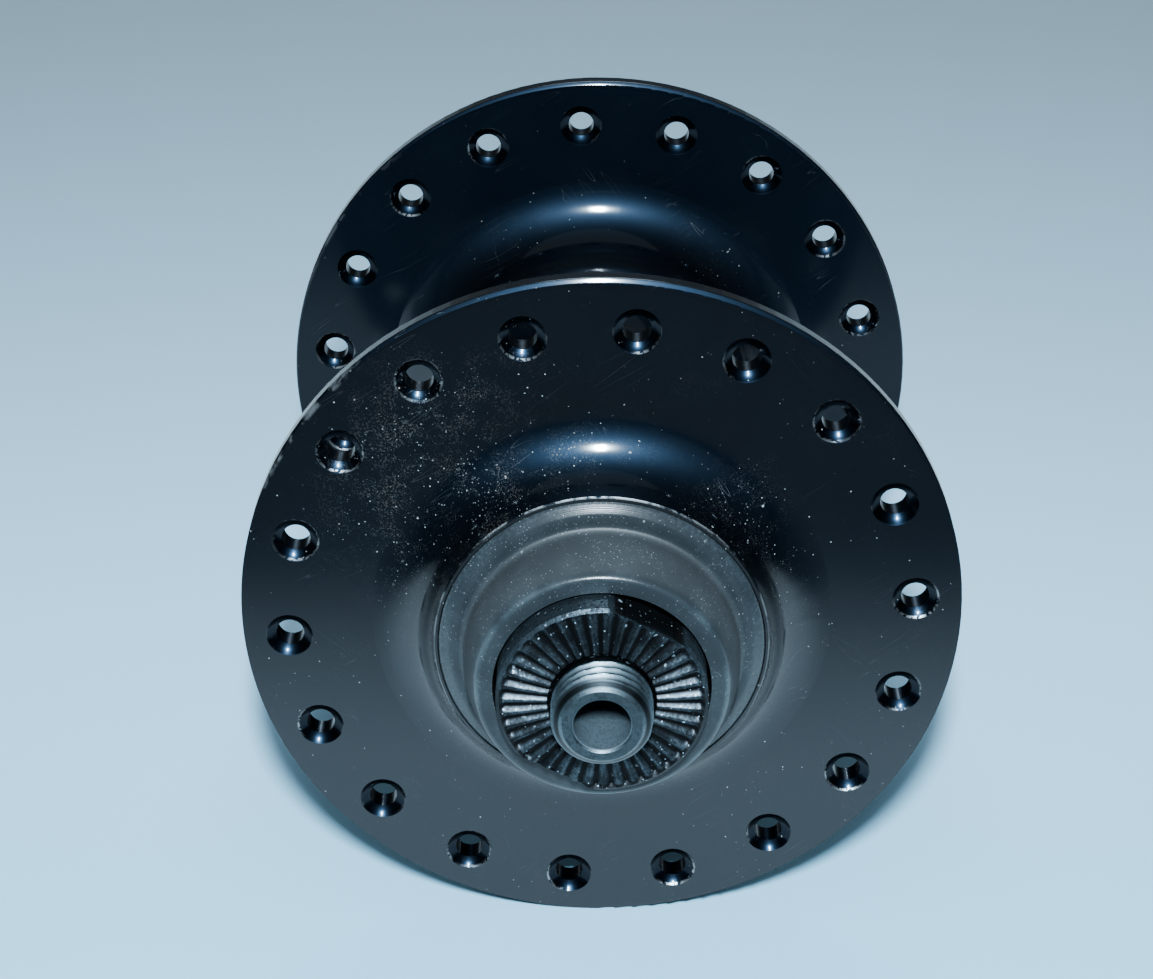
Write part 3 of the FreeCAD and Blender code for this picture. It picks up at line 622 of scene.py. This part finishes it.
# Darker in the valleys and in the hollow round the axle. A dark ring across the teeth's
# ends is painted shade, which keeps them from glinting.
hollow_edge = LOCKNUT_BORE + LOCKNUT_LEAD
dark_hollow = ramp(tree, radius, hollow_edge + 0.15 * MM, hollow_edge - 0.05 * MM)
# Painted shade over the teeth's ends
shaded_teeth_ends = calc(
    tree, "MULTIPLY",
    ramp(tree, radius, LOCKNUT_RADIUS - 0.65 * MM, LOCKNUT_RADIUS - 0.55 * MM),
    ramp(tree, radius, LOCKNUT_RADIUS - 0.25 * MM, LOCKNUT_RADIUS - 0.33 * MM))
dirt_and_shade = combine(tree, "MAXIMUM", dark_hollow, shaded_teeth_ends, ramp(tree, valley, 0.6, 1.0, 0.0, 0.9))
fine = place_group(tree, dust_specks, Vector=vector, Cell=0.40 * MM, Share=0.45, Size=0.32)
flakes = place_group(tree, dust_specks, Vector=vector, Cell=1.0 * MM, Share=ramp(
    tree, height, -3 * MM, 3 * MM, 0.25, 0.65), Size=0.26)
specks = calc(tree, "MAXIMUM", fine, flakes)
color = blend(tree, rubbed_and_shaded, BLACKENED, RUBBED_STEEL)
color = blend(tree, calc(tree, "MULTIPLY", dirt_and_shade, 0.85), color, GRIME_AND_SHADE)
color = blend(tree, edge_rub_and_highlight, color, RUBBED_STEEL)
color = blend(tree, specks, color, PALE_FLAKES)
rough = scale_and_add(tree, calc(tree, "SUBTRACT", tooth_end, edge_rub_and_highlight), 0.2,
                      scale_and_add(tree, smudge, 0.25, 0.28))
set_finish(surface, Base_Color=color, Metallic=scale_and_add(tree, specks, -0.9, 0.9),
           Roughness=rough, Normal=bump(tree, 0.9, 0.035 * MM, grain))

locknut_back = LOCKNUT_FACE - LOCKNUT_THICKNESS
teeth_end = LOCKNUT_RADIUS - LOCKNUT_CHAMFER
locknut_profile = [
    (LOCKNUT_BORE, locknut_back),
    (teeth_end, locknut_back),
    (LOCKNUT_RADIUS, locknut_back + LOCKNUT_CHAMFER),
    (LOCKNUT_RADIUS, LOCKNUT_FACE - LOCKNUT_CHAMFER)]
locknut_profile += [
    (teeth_end + (hollow_edge - teeth_end) * n / FACE_ROWS, LOCKNUT_FACE)
    for n in range(FACE_ROWS + 1)]
locknut_profile.append((LOCKNUT_BORE, LOCKNUT_FACE - LOCKNUT_LEAD))
for side, sign in (("left", -1), ("right", 1)):
    locknut = turned_blank(f"toothed_locknut_{side}", [
        (radius, sign * place) for radius, place in locknut_profile], TEETH * TOOTH_COLUMNS)
    use_tool(locknut, cut_locknut, Turn=LOCKNUT_TURNS[side], Teeth=float(TEETH),
             Slope=TOOTH_SLOPE, Rounding=TOOTH_ROUNDING, Face=LOCKNUT_FACE,
             Flat_distance=FLAT_DISTANCE, Teeth_end=teeth_end, Fade=TEETH_FADE,
             Material=nut_material)
    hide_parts(f"locknut_{side}")
    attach(locknut, "axle_set")

# Axle: a turned steel tube whose open ends carry a rolled 9 mm thread with a 1 mm pitch. The
# cones and locknuts are screwed on it, and only its ends show.
AXLE_END = 46.5 * MM
AXLE_RADIUS = 4.5 * MM
CORE_RADIUS = 4.175 * MM
THREAD_DEPTH = 0.55 * MM
THREAD_PITCH = 1.0 * MM
THREAD_FLAT = 0.16
END_CHAMFER = 1.0 * MM
BORE_RADIUS = 2.52 * MM
BORE_CHAMFER = 0.25 * MM
THREAD_ROWS = 72
THREAD_COLUMNS = 144
BRIGHT_STEEL = (0.105, 0.145, 0.170, 1)
BORE_STEEL = (0.042, 0.060, 0.072, 1)

# Presses a helical thread into the outside, without touching what is thinner already
roll_thread, given, shaped = new_tool("roll_thread", (
    "Outer radius", "Depth", "Pitch", "Crest flat", "Thinnest"))
tree = roll_thread
across, along, height = parts_of(tree, add(tree, "GeometryNodeInputPosition").outputs[0])
radius = length_of(tree, across, height)
helix = calc(tree, "FRACT", calc(
    tree, "SUBTRACT", calc(tree, "DIVIDE", along, given["Pitch"]),
    calc(tree, "DIVIDE", calc(tree, "ARCTAN2", across, height), 2 * math.pi)))
rise = calc(tree, "MULTIPLY", 2.0, calc(tree, "ABSOLUTE", calc(tree, "SUBTRACT", helix, 0.5)))
rise = calc(tree, "MINIMUM", 1.0, calc(
    tree, "DIVIDE", rise, calc(tree, "SUBTRACT", 1.0, given["Crest flat"])))
thread = calc(tree, "SUBTRACT", given["Outer radius"], calc(
    tree, "MULTIPLY", given["Depth"], calc(tree, "SUBTRACT", 1.0, rise)))
pressed = calc(tree, "MINIMUM", 1.0, calc(tree, "DIVIDE", thread, radius))
moved = add(tree, "ShaderNodeCombineXYZ", (
    calc(tree, "MULTIPLY", across, pressed), along,
    calc(tree, "MULTIPLY", height, pressed))).outputs[0]
tree.links.new(add(tree, "GeometryNodeSetPosition", {
    "Geometry": given["Geometry"], "Position": moved,
    "Selection": calc(tree, "GREATER_THAN", radius, given["Thinnest"])}).outputs[0], shaped)

steel_material, tree, surface = new_material("bright_steel")
vector = place_of(tree)
across, along, height = parts_of(tree, vector)
radius = length_of(tree, across, height)
smudge = noise(tree, vector, 700.0, 4.0)
grain = noise(tree, vector, 3600.0)
# Dirt in the thread roots, made dark enough to paint their shade as well
root_dirt_and_shade = combine(
    tree, "MULTIPLY", ramp(tree, radius, AXLE_RADIUS - 0.08 * MM, AXLE_RADIUS - 0.40 * MM),
    ramp(tree, radius, AXLE_RADIUS - 0.80 * MM, AXLE_RADIUS - 0.60 * MM), 0.9)
in_bore = ramp(tree, radius, BORE_RADIUS + 0.10 * MM, BORE_RADIUS + 0.02 * MM)
dirt_and_shade = combine(tree, "MAXIMUM", root_dirt_and_shade, ramp(tree, smudge, 0.45, 0.75, 0.0, 0.4),
               ramp(tree, grain, 0.5, 0.62, 0.0, 0.35))
color = blend(tree, dirt_and_shade, blend(tree, in_bore, BRIGHT_STEEL, BORE_STEEL), GRIME_AND_SHADE)
rough = scale_and_add(tree, smudge, 0.28, scale_and_add(tree, in_bore, 0.15, 0.30))
rings = place_group(tree, turned_rings, Radius=radius, Along=along, Scale=9000.0, Detail=2.0)
relief = scale_and_add(tree, rings, 0.6, calc(tree, "MULTIPLY", grain, 0.5))
set_finish(surface, Base_Color=color, Metallic=calc(tree, "SUBTRACT", 1.0, in_bore),
           Roughness=rough, Normal=bump(tree, 0.5, 0.02 * MM, relief))

thread_start = LOCKNUT_FACE - 0.05 * MM
axle_profile = [(CORE_RADIUS, thread_start)]
for n in range(THREAD_ROWS + 1):
    place = thread_start + (AXLE_END - thread_start) * n / THREAD_ROWS
    past_chamfer = max(0.0, place - (AXLE_END - END_CHAMFER))
    axle_profile.append((AXLE_RADIUS - past_chamfer, place))
axle_profile += [(BORE_RADIUS + BORE_CHAMFER, AXLE_END), (BORE_RADIUS, AXLE_END - BORE_CHAMFER)]
axle = turned_blank("threaded_axle", axle_profile + [
    (radius, -place) for radius, place in reversed(axle_profile)], THREAD_COLUMNS)
use_tool(axle, roll_thread, Outer_radius=AXLE_RADIUS, Depth=THREAD_DEPTH, Pitch=THREAD_PITCH,
         Crest_flat=THREAD_FLAT, Thinnest=CORE_RADIUS + 0.1 * MM, Material=steel_material)
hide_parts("axle")
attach(axle, "axle_set")

# Cones and cups: hardened bearing steel, ground smooth in the races and wet with grease. The
# cones are screwed on the axle and the cups are pressed into the shell.
BEARING_STEEL = (0.46, 0.46, 0.45, 1)
GREASE = (0.10, 0.075, 0.035, 1)
bearing_material, tree, surface = new_material("bearing_steel")
vector = place_of(tree)
smears = noise(tree, vector, 330.0, 4.0, Distortion=0.6)
set_finish(surface, Metallic=1.0, Base_Color=blend(
    tree, ramp(tree, smears, 0.45, 0.68, 0.0, 0.7), BEARING_STEEL, GREASE),
    Roughness=ramp(tree, smears, 0.3, 0.7, 0.16, 0.34),
    Normal=bump(tree, 0.3, 0.05 * MM, smears))
for side in ("left", "right"):
    for piece in ("cone", "bearing_cup"):
        nodes[f"{piece}_{side}"].material_slots[0].material = bearing_material

# Spacers and ball retainers: pressed from sheet steel with a thin zinc coat. A spacer lies
# between cone and locknut, and a retainer's fingers keep the balls apart.
ZINC = (0.58, 0.58, 0.55, 1)
ZINC_DARK = (0.36, 0.35, 0.31, 1)
plated_material, tree, surface = new_material("plated_steel")
vector = place_of(tree)
patches = add(tree, "ShaderNodeTexVoronoi", {"Vector": vector, "Scale": 1400.0}).outputs["Color"]
patch_tone = add(tree, "ShaderNodeSeparateColor", (patches,)).outputs[0]
smears = noise(tree, vector, 400.0, 3.0)
tone = calc(tree, "MULTIPLY", calc(tree, "ADD", patch_tone, smears), 0.5)
set_finish(surface, Metallic=1.0, Base_Color=blend(tree, tone, ZINC, ZINC_DARK),
           Roughness=ramp(tree, smears, 0.3, 0.7, 0.25, 0.45),
           Normal=bump(tree, 0.3, 0.02 * MM, smears))
for side in ("left", "right"):
    for piece in ("spacer", "ball_retainer"):
        nodes[f"{piece}_{side}"].material_slots[0].material = plated_material

# Balls: hard polished steel with a film of grease, ten on each side. They lie loose between
# cone and cup, one in each gap of the retainer.
BALL_STEEL = (0.68, 0.68, 0.69, 1)
ball_material, tree, surface = new_material("polished_steel")
vector = place_of(tree)
smears = noise(tree, vector, 600.0, Distortion=1.0)
set_finish(surface, Metallic=1.0, Base_Color=blend(
    tree, ramp(tree, smears, 0.52, 0.7, 0.0, 0.5), BALL_STEEL, GREASE),
    Roughness=ramp(tree, smears, 0.4, 0.7, 0.07, 0.2),
    Normal=bump(tree, 0.15, 0.03 * MM, smears))
for name, node in nodes.items():
    if name.startswith("ball_") and "retainer" not in name:
        node.material_slots[0].material = ball_material
